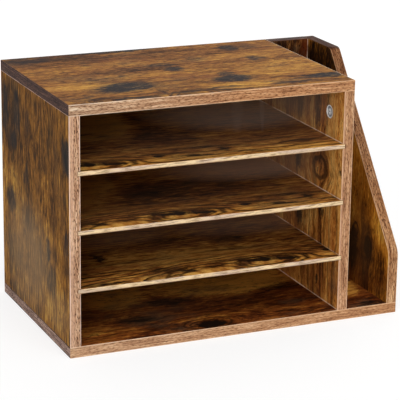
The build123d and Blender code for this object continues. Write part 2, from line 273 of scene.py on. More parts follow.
def placedMarks(board, marks, place, soft=markSoft):
    # marks placed one by one: along and across the grain, length, width, tilt in degrees, strength
    masks = []
    for a, b, length, width, tilt, strength in marks:
        mapped = addNode(board.tree, "Mapping", {
            "vector_type": "TEXTURE", "Location": (a, b, board.faceDepth),
            "Rotation": (0, 0, math.radians(tilt)), "Scale": (length / 2, width / 2, markDepth),
            "Vector": place})
        distance = addNode(board.tree, "VectorMath LENGTH", {0: mapped})
        masks.append(softMask(board.tree, distance, (markEdge + soft, markEdge - soft), strength))
    return combined(board.tree, "Math MAXIMUM", masks)


def boardSides(board, thickness):
    # masks of the face that the listed marks aren't placed on, and of the one that they are
    fromFace = addNode(board.tree, "Math SUBTRACT", {1: board.faceDepth, 0: board.depth})
    away = addNode(board.tree, "Math ABSOLUTE", {0: fromFace})
    farSide = addNode(board.tree, "MapRange", {
        "From Min": thickness * sideShares[0], "From Max": thickness * sideShares[1], "Value": away})
    return farSide, addNode(board.tree, "Math SUBTRACT", {0: 1.0, 1: farSide})


def printTone(board, tones, fibres):
    # one brightness from wide tones, streaks, fibres and planks, and from the placed patches
    tree, given = board.tree, board.given
    streaks = boardNoise(board, given["streakSize"], 5, 0.65)
    planks = addNode(tree, "TexVoronoi", {
        "voronoi_dimensions": "1D", "Scale": 1 / given["plankWidth"], "W": board.flow})
    plankTone = addNode(tree, "SeparateColor", {0: planks.outputs["Color"]})
    layers = [(tones, given["toneWeight"]), (streaks, given["streakWeight"]), (fibres, given["fibreWeight"]),
              (plankTone, given["planks"])]
    tone = layered(tree, layers, given["midTone"] + given["lift"])
    for marks, change in ((given["golden and painted light patches"], given["patchTone"]),
                          (given["brown patches"], -given["patchTone"])):
        if marks:
            tone = addNode(tree, "Math MULTIPLY_ADD", {
                1: change, 0: placedMarks(board, marks, board.place), 2: tone})
    return tone


def printColour(board, tone):
    tree, given = board.tree, board.given
    colour = addNode(tree, "ValToRGB", {"Fac": tone}, stops=given["stops"])
    for tint, length, width, start in given["tint clouds"]:
        cloud = boardNoise(board, (length, width), 4, 0.65)
        share = addNode(tree, "MapRange", {
            "From Min": start, "From Max": given["tintFull"], "To Max": given["tints"], "Value": cloud})
        colour = coated(tree, colour, [(given[tint], share)])
    return colour


def growthLines(board, dip):
    # level lines of a slow height field, dark and sharp on one side, fading on the other, and broken up
    tree, given = board.tree, board.given
    hills = boardNoise(board, given["hillSize"], 2, 0.5)
    steps = addNode(tree, "Math DIVIDE", {1: given["lineSpacing"], 0: board.flow})
    rolling = addNode(tree, "Math MULTIPLY_ADD", {1: given["lineWander"], 0: hills, 2: steps})
    height = addNode(tree, "Math ADD", {0: rolling, 1: dip})
    rise = addNode(tree, "Math FRACT", {0: height})
    line = softMask(tree, rise, (given["lineStart"], given["lineFull"]))
    kept = boardNoise(board, given["breakSize"], 4, 0.6)
    if given["line zones"]:
        kept = addNode(tree, "Math MULTIPLY_ADD", {
            1: given["zoneGain"], 0: placedMarks(board, given["line zones"], board.place), 2: kept})
    shown = softMask(tree, kept, given["lineSpan"], given["lines"])
    return addNode(tree, "Math MULTIPLY", {0: line, 1: shown})


def printFlecks(board):
    # short dark flecks, which gather where the clusters are high
    given = board.given
    flecks = boardNoise(board, given["fleckSize"], 3, 0.65)
    clusters = boardNoise(board, given["clusterSize"], 3)
    fleckTone = addNode(board.tree, "Math MULTIPLY_ADD", {1: given["clusterWeight"], 0: clusters, 2: flecks})
    return softMask(board.tree, fleckTone, given["fleckSpan"], given["flecks"])


def wornPatches(board, fibres):
    # listed on the side that shows, scattered on the other, and thinned by the fibres
    tree, given = board.tree, board.given
    worn = placedMarks(board, given["worn patches"], board.place, given["patchSoft"])
    scattered = boardNoise(board, given["scatterSize"], 4, 0.6, board.across)
    scatteredMask = softMask(tree, scattered, given["scatterSpan"], given["scatter"])
    if worn is None:
        worn = scatteredMask
    else:
        there = addNode(tree, "Math MULTIPLY", {0: scatteredMask, 1: board.farSide})
        worn = addNode(tree, "Math MAXIMUM", {0: worn, 1: there})
    thinned = addNode(tree, "MapRange", {
        "From Min": 0.3, "From Max": 0.7, "To Min": 1.45, "To Max": 0.6, "Value": fibres})
    return addNode(tree, "Math MULTIPLY", {"use_clamp": True, 0: worn, 1: thinned})


def paleLips(board, colour, tones, fibres):
    # threads of torn paper at the levels given along the grain, and painted highlights at those across it,
    # chipped by the fibres and missing where the tones are dark
    tree, given = board.tree, board.given
    levels = [(board.along, level) for level in given["lips along"]]
    levels += [(board.across, level) for level in given["highlight lines across"]]
    for source, level in levels:
        chipped = addNode(tree, "Math MULTIPLY_ADD", {
            1: given["lipWander"], 2: -level - given["lipWander"] / 2, 0: fibres})
        offset = addNode(tree, "Math ADD", {0: source, 1: chipped})
        off = addNode(tree, "Math ABSOLUTE", {0: offset})
        thread = addNode(tree, "MapRange", {"From Min": 0.8, "From Max": 0.4, "Value": off})
        left = addNode(tree, "MapRange", {
            "From Min": 0.4, "From Max": 0.6, "To Min": 0.15, "To Max": 0.95, "Value": tones})
        unbroken = addNode(tree, "Math MULTIPLY", {0: thread, 1: board.nearSide})
        lip = addNode(tree, "Math MULTIPLY", {0: unbroken, 1: left})
        colour = coated(tree, colour, [(given["lipColour"], lip)])
    return colour


def cutFace(board):
    # raw board: pressed chips, or on a thin board pale fibre in two tints with faint streaks
    tree, given = board.tree, board.given
    if given["edgeStreaks"]:
        grain = stretchedNoise(tree, board.seeded, board.depth, board.across, given["edgeStreaks"], 4, 0.65)
        streaks = addNode(tree, "MapRange", {"From Min": 0.46, "From Max": 0.68, "Value": grain})
        # the lower arris is darkened: painted shade, as it stays in shadow
        arrisShade = addNode(tree, "MapRange", {
            "From Min": 1.3, "From Max": 0.3, "To Max": 0.8, "Value": board.depth})
        slow = stretchedNoise(tree, board.seeded, board.depth, board.across, (45, 8), 2)
        tinted = addNode(tree, "MapRange", {
            "From Min": 0.46, "From Max": 0.62, "To Max": 0.8, "Value": slow})
        core = addNode(tree, "Mix", {"A": given["core"], "B": given["coreTint"], "Factor": tinted})
        chipTone = addNode(tree, "Math MAXIMUM", {0: streaks, 1: arrisShade})
    else:
        chips = addNode(tree, "TexVoronoi", {"Scale": 0.55, "Vector": board.plain})
        chipTone = chips.outputs["Distance"]
        core = addNode(tree, "RGB")
        core.outputs[0].default_value = linearColour(given["core"])
    return coated(tree, core, [(given["coreDark"], chipTone)])


def printedBoard(node, options):
    given = {**woodPrint, **options}
    material, tree = newMaterial("melamineWoodPrint_" + node)
    (along, across, depth), facing, size = boardPlaces(tree, node, given["axes"])
    along = addNode(tree, "Math ADD", {1: given["cut from"], 0: along})
    board = SimpleNamespace(tree=tree, given=given, along=along, across=across, depth=depth)
    board.faceDepth = size[2] if given["side"] == "high" else 0
    board.seeded = addNode(tree, "Math ADD", {1: given["seed"] * seedStep, 0: along})
    board.plain = addNode(tree, "CombineXYZ", {0: along, 1: across, 2: depth})

    # the grain wanders slowly, the outlines of the marks raggedly, and the knots' rings smoothly
    waves = boardNoise(board, given["waveSize"], 3, 0.5, across)
    bend = addNode(tree, "MapRange", {
        "From Min": 0.3, "From Max": 0.7, "To Min": -given["wave"], "To Max": given["wave"], "clamp": False,
        "Value": waves})
    board.flow = addNode(tree, "Math ADD", {0: across, 1: bend})
    board.place = wanderedPlace(board, given["raggedSize"], 5, 0.75, given["ragged"])
    board.knotPlace = wanderedPlace(board, given["swaySize"], 2, 0.5, given["ringSway"])
    board.flow, knotMask, dip = knotMarks(board)
    board.farSide, board.nearSide = boardSides(board, size[2])

    fibres = boardNoise(board, given["fibreSize"], 3, 0.7)
    tones = boardNoise(board, given["toneSize"], 6, 0.62, distortion=0.4)
    tone = printTone(board, tones, fibres)
    colour = printColour(board, tone)
    fleckMask = printFlecks(board)
    darkMask = addNode(tree, "Math MAXIMUM", {0: growthLines(board, dip), 1: fleckMask})
    if knotMask is not None:
        darkMask = addNode(tree, "Math MAXIMUM", {0: darkMask, 1: knotMask})
    colour = coated(tree, colour, [(given["flame"], darkMask), (given["worn"], wornPatches(board, fibres))])
    # painted reflection: a pale haze over the near face standing in for the satin's sheen, with some dust
    if given["sheen and dust patches"]:
        sheenAndDustMask = placedMarks(board, given["sheen and dust patches"], board.plain, given["sheenAndDustSoft"])
        haze = addNode(tree, "Math MULTIPLY", {0: sheenAndDustMask, 1: board.nearSide})
        colour = coated(tree, colour, [(given["sheenAndDust"], haze)])
    colour = paleLips(board, colour, tones, fibres)
    isCut = addNode(tree, "MapRange", {"From Min": 0.5, "From Max": 0.35, "Value": facing})
    colour = addNode(tree, "Mix", {"Factor": isCut, "A": colour, "B": cutFace(board)})

    gloss = addNode(tree, "MapRange", {
        "From Min": 0.2, "From Max": 0.9, "To Min": given["roughness"][0], "To Max": given["roughness"][1],
        "Value": tone})
    relief = addNode(tree, "Math SUBTRACT", {0: fibres, 1: fleckMask})
    bump = addNode(tree, "Bump", {"Strength": 0.5, "Distance": given["emboss"], "Height": relief})
    dress(node, material, {
        "IOR": 1.5, "Specular IOR Level": given["specular"], "Base Color": colour, "Roughness": gloss,
        "Normal": bump})


def heightsAbove(node, names, rise):
    # heights in a piece's own millimetres of the tops of the named pieces, raised a little
    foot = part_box(node)[0].z
    return [(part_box(name)[1].z - foot) / millimetre + rise for name in names]


shelves = ["lower_shelf", "middle_shelf", "upper_shelf"]
grooveLips = 0.8                # millimetres above a shelf's top, where its groove ends
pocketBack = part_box("side_back_panel")
pocketCorner = (pocketBack[1].x - pocketBack[0].x) / millimetre - 0.4   # where a pale line runs up the corner: a painted highlight
# Thin dark rings round a clear heart
thinRings = [(0.0, "#000000"), (0.46, "#000000"), (0.53, "#E8E8E8"), (0.57, "#E8E8E8"), (0.62, "#101010"),
             (0.7, "#101010"), (0.76, "#E8E8E8"), (0.8, "#E8E8E8"), (0.86, "#000000")]
# The three shelves are cut from one printed sheet, each about 100 mm further along, so the same figures
# return: a long eye with a golden heart, and beside it one with a worn dark heart
shelfLook = {
    "axes": "xyz", "side": "high", "seed": 10,
    "core": "#F4D6A8", "coreTint": "#D6BCA8", "coreDark": "#7E5C44", "edgeStreaks": (14, 1.3),
    "stops": printTones("#27140A", "#533016", "#895326", "#B57833", "#D8A04E"),
    "worn": "#1E140D", "flame": "#200E05", "wave": 5, "waveSize": (100, 40), "fibreWeight": 2.1,
    "fibreSize": (20, 4), "toneWeight": 1.0, "ragged": (40, 8, 0), "lines": 0.9, "lineWander": 2.4,
    "lineStart": 0.5, "hillSize": (130, 44), "breakSize": (80, 14), "ringSway": (26, 6, 0),
    "knotDip": 2.6, "flecks": 0.5,
    "line zones": [(50, 12, 700, 60, 0, 0.9)],
    "knots": [(-54, 1, 124, 66), (27, 14, 110, 46)],
    "knotRings": thinRings,
    "worn patches": [
        (20, 20, 50, 13, -4, 1.0), (42, 16, 40, 9, -8, 0.95), (12, 30, 50, 5, -9, 0.85),
        (64, 24, 44, 5, -12, 0.8), (100, 26, 13, 10, 0, 0.95), (137, 17, 58, 6, -13, 0.9),
        (178, 32, 11, 22, 0, 0.75), (205, 13, 50, 6, -12, 0.85), (200, 37, 44, 6, -14, 0.6),
        (262, 24, 60, 6, -6, 0.5), (-170, 5, 54, 8, 0, 0.85), (-100, 27, 30, 14, 0, 0.75),
        (-74, 14, 28, 9, -14, 0.9), (-151, 88, 14, 36, 0, 0.9), (16, 100, 50, 20, 0, 0.5),
        (110, 100, 30, 18, 0, 0.5), (-22, 30, 40, 6, -14, 0.7), (70, 38, 90, 6, -8, 0.7),
        (160, 46, 110, 6, -5, 0.6), (250, 50, 90, 7, 4, 0.5), (-60, 46, 120, 6, 5, 0.6),
        (-160, 40, 100, 6, -4, 0.6), (120, 62, 120, 6, 3, 0.5), (275, 36, 60, 6, 0, 0.6),
        (0, 66, 110, 6, -3, 0.5), (-120, 64, 90, 6, 3, 0.5),
    ],
}
# the three strips across the whole shelf, at front, middle and rear, are painted light in the shaded slots;
# the short patches are the print's golden figure
shelfGoldAndLight = [
    (50, 10, 900, 30, 0, 0.45), (50, 75, 900, 60, 0, 0.15), (50, 175, 900, 80, 0, 0.4),
    (-105, 66, 170, 60, 0, 0.5), (-50, 4, 80, 24, 0, 0.9), (-108, 6, 60, 20, 0, 0.8),
    (56, 7, 26, 14, 0, 0.8), (140, 6, 64, 14, 0, 0.8), (265, 7, 80, 18, 0, 0.6),
]
boards = {
    "top_board": {
        "axes": "xyz", "side": "high", "seed": 1, "toneWeight": 0.85, "fibreWeight": 1.5, "tints": 0.45,
        "stops": printTones("#27150B", "#513116", "#875526", "#B27B2F", "#D6A142"),
        "lines": 0.9, "knots": [(140, 0, 72, 54), (40, 4, 40, 30)], "knotRings": thinRings,
        "patchSoft": 0.4,
        "worn patches": [
            (82, 54, 82, 42, 12, 1.0), (156, 139, 42, 14, -6, 0.8), (165, 118, 24, 26, 0, 0.95),
            (207, 52, 54, 32, 6, 1.0), (210, 70, 20, 34, 0, 0.85), (308, 34, 60, 19, 3, 1.0),
            (264, 17, 56, 12, 3, 0.7), (266, 197, 25, 32, 0, 0.9), (288, 198, 34, 26, 0, 0.45),
            (271, 138, 24, 22, 0, 0.8), (207, 160, 26, 24, 0, 0.4), (20, 208, 60, 34, 0, 0.7),
            (130, 223, 110, 13, 0, 0.95), (97, 102, 11, 15, 0, 0.6), (108, 128, 78, 22, 6, 0.35),
            (78, 168, 12, 30, 0, 0.35), (31, 27, 12, 20, 0, 0.5), (112, 22, 8, 22, 0, 0.6),
            (70, 6, 40, 9, 0, 0.9), (40, 4, 60, 4, 0, 0.8), (150, 14, 60, 5, 6, 0.5),
            (30, 14, 40, 5, 8, 0.5), (190, 8, 50, 5, -4, 0.4), (255, 26, 60, 6, 2, 0.5),
        ],
        "golden and painted light patches": [
            (280, 85, 120, 60, 15, 0.45), (215, 22, 110, 26, 0, 0.7), (40, 75, 80, 40, 0, 0.4),
        ],
        "brown patches": [
            (60, 200, 160, 60, 0, 0.8), (200, 190, 200, 50, 0, 0.5), (110, 125, 120, 26, 4, 0.6),
        ],
        "line zones": [(120, 12, 270, 34, 0, 0.8), (270, 22, 90, 24, 0, 0.6)],
    },
    "base_board": {
        "axes": "xyz", "side": "high", "seed": 2, "lift": -0.12, "toneWeight": 1.0, "tints": 0.75,
        "stops": printTones("#240E06", "#502610", "#86481C", "#B06E2C", "#E8A648"),
        "redTint": "#6E3312", "worn": "#160D08", "sheenAndDust": "#B09078", "fibreSize": (12, 4),
        "knots": [(164, 14, 70, 40)], "knotRings": thinRings,
        "sheen and dust patches": [(110, 100, 220, 110, 0, 0.06)], "line zones": [(150, 25, 320, 60, 0, 0.6)],
        # the strong patches deep under the lower shelf and on the pocket floor are painted light and a
        # painted glint
        "golden and painted light patches": [
            (230, 130, 190, 80, 0, 2.2), (155, 30, 80, 14, 0, 0.9), (60, 60, 110, 120, 0, 0.25),
            (88, 138, 110, 90, 0, 2.2), (350, 64, 44, 60, 0, 2.0),
        ],
        "brown patches": [
            (364, 14, 60, 40, 0, 0.6), (364, 170, 60, 120, 0, 0.3), (160, 110, 80, 60, 0, 0.5),
        ],
        "worn patches": [
            (168, 11, 36, 20, 0, 1.6), (95, 52, 46, 22, 0, 0.8), (150, 95, 60, 22, 0, 0.7),
            (290, 96, 50, 22, 0, 0.7), (110, 8, 14, 8, 0, 0.6), (230, 60, 44, 12, 0, 0.5),
            (364, 8, 44, 12, 0, 0.9),
        ],
    },
    "left_side_panel": {
        # its darker stops are partly painted shade, for the side that the lamps light less
        "axes": "zyx", "side": "low", "seed": 3, "planks": 0.2, "lift": -0.03, "streakWeight": 0.6,
        "fibreWeight": 2.2, "fibreSize": (19, 3), "toneWeight": 1.0, "toneSize": (50, 30),
        "redTint": "#6E4A26", "greyTint": "#584424", "tints": 0.5, "worn": "#1F1A18",
        "stops": printTones("#241509", "#482D0F", "#754A16", "#9B6820", "#BE903A"), "sheenAndDust": "#8C7860",
        "sheen and dust patches": [
            (60, 130, 110, 150, 0, 0.42), (28, 45, 50, 110, 0, 0.25), (20, 140, 40, 120, 0, 0.3),
        ],
        "worn patches": [
            (205, 8, 40, 32, 0, 1.0), (212, 211, 60, 20, 0, 0.9), (215, 171, 60, 24, 0, 0.85),
            (183, 183, 24, 24, 0, 0.85), (214, 134, 26, 18, 0, 0.5), (151, 142, 22, 22, 0, 0.6),
            (110, 196, 30, 34, 0, 0.85), (104, 135, 32, 50, 0, 0.4), (88, 69, 26, 13, 0, 0.9),
            (54, 58, 34, 30, 20, 0.65), (110, 11, 30, 14, 0, 0.7), (45, 198, 50, 18, 0, 0.6),
            (6, 180, 18, 60, 0, 0.45), (75, 92, 60, 6, 0, 0.4), (212, 190, 76, 60, 0, 0.35),
        ],
        "brown patches": [
            (200, 180, 110, 90, 0, 0.8), (190, 80, 120, 160, 0, 0.5), (225, 100, 50, 200, 0, 0.3),
        ],
        "golden and painted light patches": [(30, 40, 60, 90, 0, 0.6), (135, 195, 40, 36, 0, 0.7), (90, 222, 190, 12, 0, 0.7)],
    },
    "divider_panel": {
        # its lift and bright stops are partly painted light, on a face that the slots keep in shade
        "axes": "zyx", "side": "low", "seed": 4, "planks": 0.4, "lift": 0.14, "worn": "#1F1712",
        "stops": printTones("#30170C", "#66381A", "#9C5C25", "#C07E38", "#DCA65A"), "sheenAndDust": "#8C7869",
        "sheen and dust patches": [
            (228, 150, 76, 200, 0, 0.75), (160, 142, 84, 150, 0, 0.5), (85, 150, 50, 110, 0, 0.15),
        ],
        "streakWeight": 1.0, "lineWander": 2.2, "lineSpacing": 13, "breakSize": (100, 8),
        "line zones": [(60, 50, 170, 120, 0, 0.8)],
        "knots": [(153, 52, 29, 43)],
        "knotRings": [(0.0, "#606060"), (0.22, "#303030"), (0.52, "#484848"), (0.66, "#E4E4E4"),
                      (0.86, "#E4E4E4"), (1.0, "#000000")],
        "lips along": heightsAbove("divider_panel", ["base_board"] + shelves, grooveLips),
        "worn patches": [
            (103, 46, 16, 14, 0, 0.8), (228, 38, 76, 7, 0, 0.6), (228, 62, 76, 14, 0, 0.75),
            (228, 106, 70, 18, 0, 0.65), (88, 100, 30, 20, 0, 0.9), (162, 108, 56, 16, 0, 0.9),
            (60, 43, 60, 4, 0, 0.6), (20, 52, 14, 7, 0, 0.85), (158, 3, 8, 6, 0, 0.8),
        ],
        "golden and painted light patches": [(190, 14, 160, 30, 0, 0.7), (60, 16, 120, 34, 0, 0.4), (228, 76, 70, 7, 0, 1.0)],
        "brown patches": [(228, 110, 60, 120, 0, 0.4), (28, 70, 66, 140, 0, 0.6)],
    },
    "outer_side_panel": {
        "axes": "zyx", "side": "low", "seed": 5, "planks": 0.3, "lift": 0.13, "worn": "#140C07",
        "stops": printTones("#2A1406", "#5C330F", "#93581A", "#BE7A26", "#DBA040"),
        "redTint": "#7A3A10", "greyTint": "#6A4420", "sheenAndDust": "#7A5A3C",
        "knots": [(53, 49, 26, 20), (64, 80, 20, 20), (42, 83, 24, 22)],
        "worn patches": [(52, 49, 20, 14, 0, 0.9), (44, 83, 64, 20, 0, 0.9), (225, 170, 110, 130, 0, 0.78)],
        "brown patches": [(30, 60, 90, 120, 0, 1.3), (225, 150, 100, 140, 0, 1.2)],
        "golden and painted light patches": [(90, 16, 60, 26, 0, 0.8), (150, 60, 100, 40, 0, 0.5)],
        "sheen and dust patches": [(45, 70, 90, 60, 0, 0.3)],
    },
    "side_back_panel": {
        "axes": "zxy", "side": "low", "seed": 6, "planks": 0.2, "lift": -0.38, "tints": 0.85,
        # the pale line up the inner corner is a painted highlight
        "redTint": "#743012", "highlight lines across": [pocketCorner],
        "worn patches": [(238, 14, 22, 12, 0, 0.5), (200, 40, 50, 14, 0, 0.5)],
    },
    "back_board": {
        "axes": "xzy", "side": "low", "seed": 7, "lift": 0.2,
        "sheen and dust patches": [(210, 225, 260, 100, 0, 0.6)],
    },
    "lower_shelf": {
        **shelfLook, "cut from": -205, "lift": 0.06, "fibreWeight": 2.3, "toneWeight": 1.25, "lines": 1.0,
        # the patches added here are painted light in the slot's shade
        "golden and painted light patches": shelfGoldAndLight + [(-142, 150, 100, 110, 0, 0.7), (-50, 58, 140, 60, 0, 0.8)],
        "brown patches": [(88, 60, 60, 50, 0, 0.4), (-45, 108, 190, 60, 0, 0.3)], "sheenAndDust": "#FFE6D0",
        "sheen and dust patches": [
            (60, 168, 190, 100, 0, 0.32), (-130, 172, 200, 90, 0, 0.25), (-50, 115, 500, 60, 0, 0.02),
        ],
    },
    "middle_shelf": {
        **shelfLook, "cut from": -102.5, "lift": 0.06, "sheenAndDust": "#FFE6D0",
        # the patch added here is painted light deep in the slot
        "golden and painted light patches": shelfGoldAndLight + [(-62, 155, 110, 150, 0, 2.2)],
        "brown patches": [(45, 100, 200, 90, 0, 1.0)],
        "sheen and dust patches": [(182, 176, 200, 110, 0, 0.7), (60, 90, 500, 130, 0, 0.03)],
    },
    "upper_shelf": {
        **shelfLook, "lift": 0.12, "sheenAndDust": "#FCEBDC",
        # the patch added here is painted light deep in the slot
        "golden and painted light patches": shelfGoldAndLight + [(56, 175, 140, 130, 0, 2.3)],
        "brown patches": [(80, 90, 900, 70, 0, 0.4), (128, 130, 50, 140, 0, 1.1), (128, 84, 90, 50, 0, 0.8)],
        "sheen and dust patches": [(255, 172, 170, 130, 0, 0.56), (260, 176, 150, 26, 65, 0.68),
                          (290, 172, 150, 9, 65, 0.7), (200, 90, 500, 120, 0, 0.045)],
    },
}
for node, options in boards.items():
    printedBoard(node, options)
print("boards printed:", len(boards))


# Edge band: a printed melamine strip, ironed on and trimmed flush.
# It looks lighter and pinker than the boards, with long dark grain and a pale line along its edges, partly
# the trimmed edge and partly a painted highlight.
edgeBand = {
    "stops": [(0.0, "#4C3226"), (0.28, "#7F5B44"), (0.5, "#AF8769"), (0.75, "#CDA785"), (1.0, "#E9CDB0")],
    "midTone": 0.6,
    "grain": "#4A2F23",
    # the pale line along the edges: partly the trimmed edge, partly a painted highlight
    "trimAndEdgeShading": "#F0D8C0",
    "trimWidth": 0.8,
    "trimChips": (22, 3),       # where the trim is worn off, length and width
    "trimLow": False,           # only the lower edge shows its trim
    "paleWidth": 0.0,           # a paler strip along the low edge
    "pale": "#DDB79C",
    "toneSize": (40, 6),
    "toneWeight": 0.9,
    "streakSize": (45, 1.2),
    "streakWeight": 2.2,
    "dashSize": (4.5, 1.1),     # real pores are about a third of this, too fine to show
    "dashWeight": -0.9,
    "dashSpan": (0.54, 0.63),   # of the noise in which they appear
    "dashes": 0.6,
    "waveSize": (34, 8),
    "wave": 1.6,
    "bent": False,              # runs up the front and back along the top
    "foldSpan": (3, 0.5),       # millimetres from its upper end, where it takes the top's tint
    "warmth": ("#FFFFFF", "#FFFFFF"),   # tint at the strip's start and end
    "warmthReach": 1.0,         # share of the strip's length where the second tint is full
    "roughness": (0.64, 0.54),
    "specular": 0.05,
}
bandSeedStep = 211              # millimetres between two bands' places in the noise


def edgeLines(tree, given, across, width, noise):
    # a line along both sides of the strip or the lower one, at most 1.4 trim widths wide, and worn; pale, it
    # is partly a painted highlight, and dark on the base's left strip, a painted shadow
    fromMiddle = addNode(tree, "Math SUBTRACT", {1: width / 2, 0: across})
    if given["trimLow"]:
        offMiddle = addNode(tree, "Math MULTIPLY", {1: -1.0, 0: fromMiddle})
    else:
        offMiddle = addNode(tree, "Math ABSOLUTE", {0: fromMiddle})
    reach = addNode(tree, "Math MULTIPLY_ADD", {
        1: given["trimWidth"] * 1.6, 2: -width / 2 - given["trimWidth"] * 0.2, 0: noise})
    edge = addNode(tree, "Math ADD", {0: offMiddle, 1: reach})
    return addNode(tree, "MapRange", {"From Min": -0.25, "From Max": 0.15, "To Max": 0.9, "Value": edge})


def bandTint(tree, given, colour, along, length):
    # the flat top stretch of a bent strip is printed darker, and a strip may grow warmer along its length
    if given["bent"]:
        upward = addNode(tree, "MapRange", {
            "From Min": length - given["foldSpan"][0], "From Max": length - given["foldSpan"][1],
            "Value": along})
        darker = addNode(tree, "Mix", {"blend_type": "MULTIPLY", 0: 1.0, "B": given["topTint"], "A": colour})
        colour = addNode(tree, "Mix", {"Factor": upward, "A": colour, "B": darker})
    start, end = given["warmth"]
    share = addNode(tree, "MapRange", {"From Max": length * given["warmthReach"], "Value": along})
    tint = addNode(tree, "Mix", {"A": start, "B": end, "Factor": share})
    return addNode(tree, "Mix", {"blend_type": "MULTIPLY", 0: 1.0, "A": colour, "B": tint})


def bandPiece(node, options):
    given = {**edgeBand, **options}
    material, tree = newMaterial("melamineEdgeBand_" + node)
    (along, across, depth), facing, size = boardPlaces(tree, node, given["axes"])
    path = along
    if given["bent"]:
        path = addNode(tree, "Math ADD", {0: along, 1: depth})      # runs up, then back
    seeded = addNode(tree, "Math ADD", {1: given["seed"] * bandSeedStep, 0: path})
    flat = addNode(tree, "Value")           # the same print through the whole thickness
    waves = stretchedNoise(tree, seeded, across, flat, given["waveSize"], 2)
    bend = addNode(tree, "MapRange", {"To Min": -given["wave"], "To Max": given["wave"], "Value": waves})
    flow = addNode(tree, "Math ADD", {0: across, 1: bend})
    tones = stretchedNoise(tree, seeded, flow, flat, given["toneSize"], 3, 0.6)
    streaks = stretchedNoise(tree, seeded, flow, flat, given["streakSize"], 4, 0.7)
    dashes = stretchedNoise(tree, seeded, flow, flat, given["dashSize"], 2, 0.6)
    layers = [(tones, given["toneWeight"]), (streaks, given["streakWeight"]), (dashes, given["dashWeight"])]
    tone = layered(tree, layers, given["midTone"])
    colour = addNode(tree, "ValToRGB", {"Fac": tone}, stops=given["stops"])
    dashMask = softMask(tree, dashes, given["dashSpan"], given["dashes"])
    colour = coated(tree, colour, [(given["grain"], dashMask)])
    if given["paleWidth"]:
        paleShare = addNode(tree, "MapRange", {
            "From Min": given["paleWidth"] + 1, "From Max": given["paleWidth"] - 1, "To Max": 0.5,
            "Value": flow})
        colour = coated(tree, colour, [(given["pale"], paleShare)])
    worn = stretchedNoise(tree, seeded, across, flat, given["trimChips"], 2)
    colour = coated(tree, colour, [(given["trimAndEdgeShading"], edgeLines(tree, given, across, size[1], worn))])
    colour = bandTint(tree, given, colour, along, size[0])
    gloss = addNode(tree, "MapRange", {
        "To Min": given["roughness"][0], "To Max": given["roughness"][1], "Value": tone})
    bump = addNode(tree, "Bump", {"Strength": 0.4, "Distance": 0.0001, "Height": dashes})
    dress(node, material, {
        "IOR": 1.5, "Specular IOR Level": given["specular"], "Base Color": colour, "Roughness": gloss,
        "Normal": bump})


# The strips on the left and on the panels' tops come from a darker, plum brown roll
darkBand = {
    "stops": [(0.0, "#1B1210"), (0.35, "#33231E"), (0.6, "#48332B"), (0.85, "#60463A"), (1.0, "#7B5B4C")],
    "grain": "#170E0C",
}
duskBand = {
    "stops": [(0.0, "#463530"), (0.35, "#6E564C"), (0.6, "#8C7064"), (0.85, "#A88A7B"), (1.0, "#BE9F8F")],
    "grain": "#2E201B",
}
bandLooks = {
    "top_left_band": {**darkBand, "trimAndEdgeShading": "#D6BEB0", "trimLow": True, "warmth": ("#E8DEDE", "#E8DEDE")},
    "side_back_top_band": {**darkBand, "trimAndEdgeShading": "#6E4F42"},
    "top_rear_band": {**darkBand, "trimAndEdgeShading": "#2A201D"},
    # its dark trim lines are a painted shadow where the left panel sits on the base
    "base_left_band": {**duskBand, "trimAndEdgeShading": "#2A1C17", "trimWidth": 1.5, "dashes": 0.85, "streakWeight": 2.8},
    "top_front_band": {"warmth": ("#FAFDFF", "#F6DEC4"), "warmthReach": 0.6},
    "base_front_band": {"warmth": ("#FFFAF4", "#F6E0C6"), "dashes": 0.35, "streakWeight": 1.5},
    # its bright trim is a painted highlight along the panel's front corner
    "left_panel_front_band": {
        "trimAndEdgeShading": "#F6DECD", "trimWidth": 1.0, "paleWidth": 4.5, "warmth": ("#F8F0EC", "#FFF6F0"),
        "dashes": 0.95, "streakWeight": 2.8,
    },
    "divider_front_band": {"warmth": ("#F4E2D2", "#EEDCC8"), "paleWidth": 2.2, "pale": "#D8B09A"},
    "outer_panel_front_band": {
        "bent": True, "topTint": "#86746C", "warmth": ("#F0DCC2", "#B0937A"), "dashes": 0.9,
        "streakWeight": 3.0,
    },
}
bandAxes = {"front": "xzy", "rear": "xzy", "left": "yzx", "right": "yzx"}
bandNodes = sorted(n for n in nodes if n.endswith("_band"))
for place, node in enumerate(bandNodes):
    board, side = node.split("_")[0], node.split("_")[-2]
    axes = "zxy"                # the strips on the uprights
    if board in ("top", "base"):
        axes = bandAxes[side]
    elif node == "side_back_top_band":
        axes = "xyz"
    bandPiece(node, {"seed": place + 1, "axes": axes, **bandLooks.get(node, {})})
print("edges banded:", len(bandNodes))


# The cams that show: two under the top board in each side of the slots, and two in the pocket's back panel
camPlaces = {                   # millimetres
    "fromBoard": 30,            # from the face of the board that the cam pulls against
    "fromEdge": 34,             # from the panel's front or rear edge
    "pocketHeights": (57, 235),
}


def camFaces(given):
    # the middles of the discs' faces, in millimetres
    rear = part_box("side_back_panel")[1].y / millimetre
    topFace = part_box("top_board")[0].z / millimetre
    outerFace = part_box("outer_side_panel")[0].x / millimetre
    reach = rear - given["fromEdge"]
    slotSides = (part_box("left_side_panel")[1].x / millimetre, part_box("divider_panel")[0].x / millimetre)
    faces = [(x, y, topFace - given["fromBoard"]) for x in slotSides for y in (-reach, reach)]
    return faces + [(outerFace - given["fromBoard"], rear, z) for z in given["pocketHeights"]]


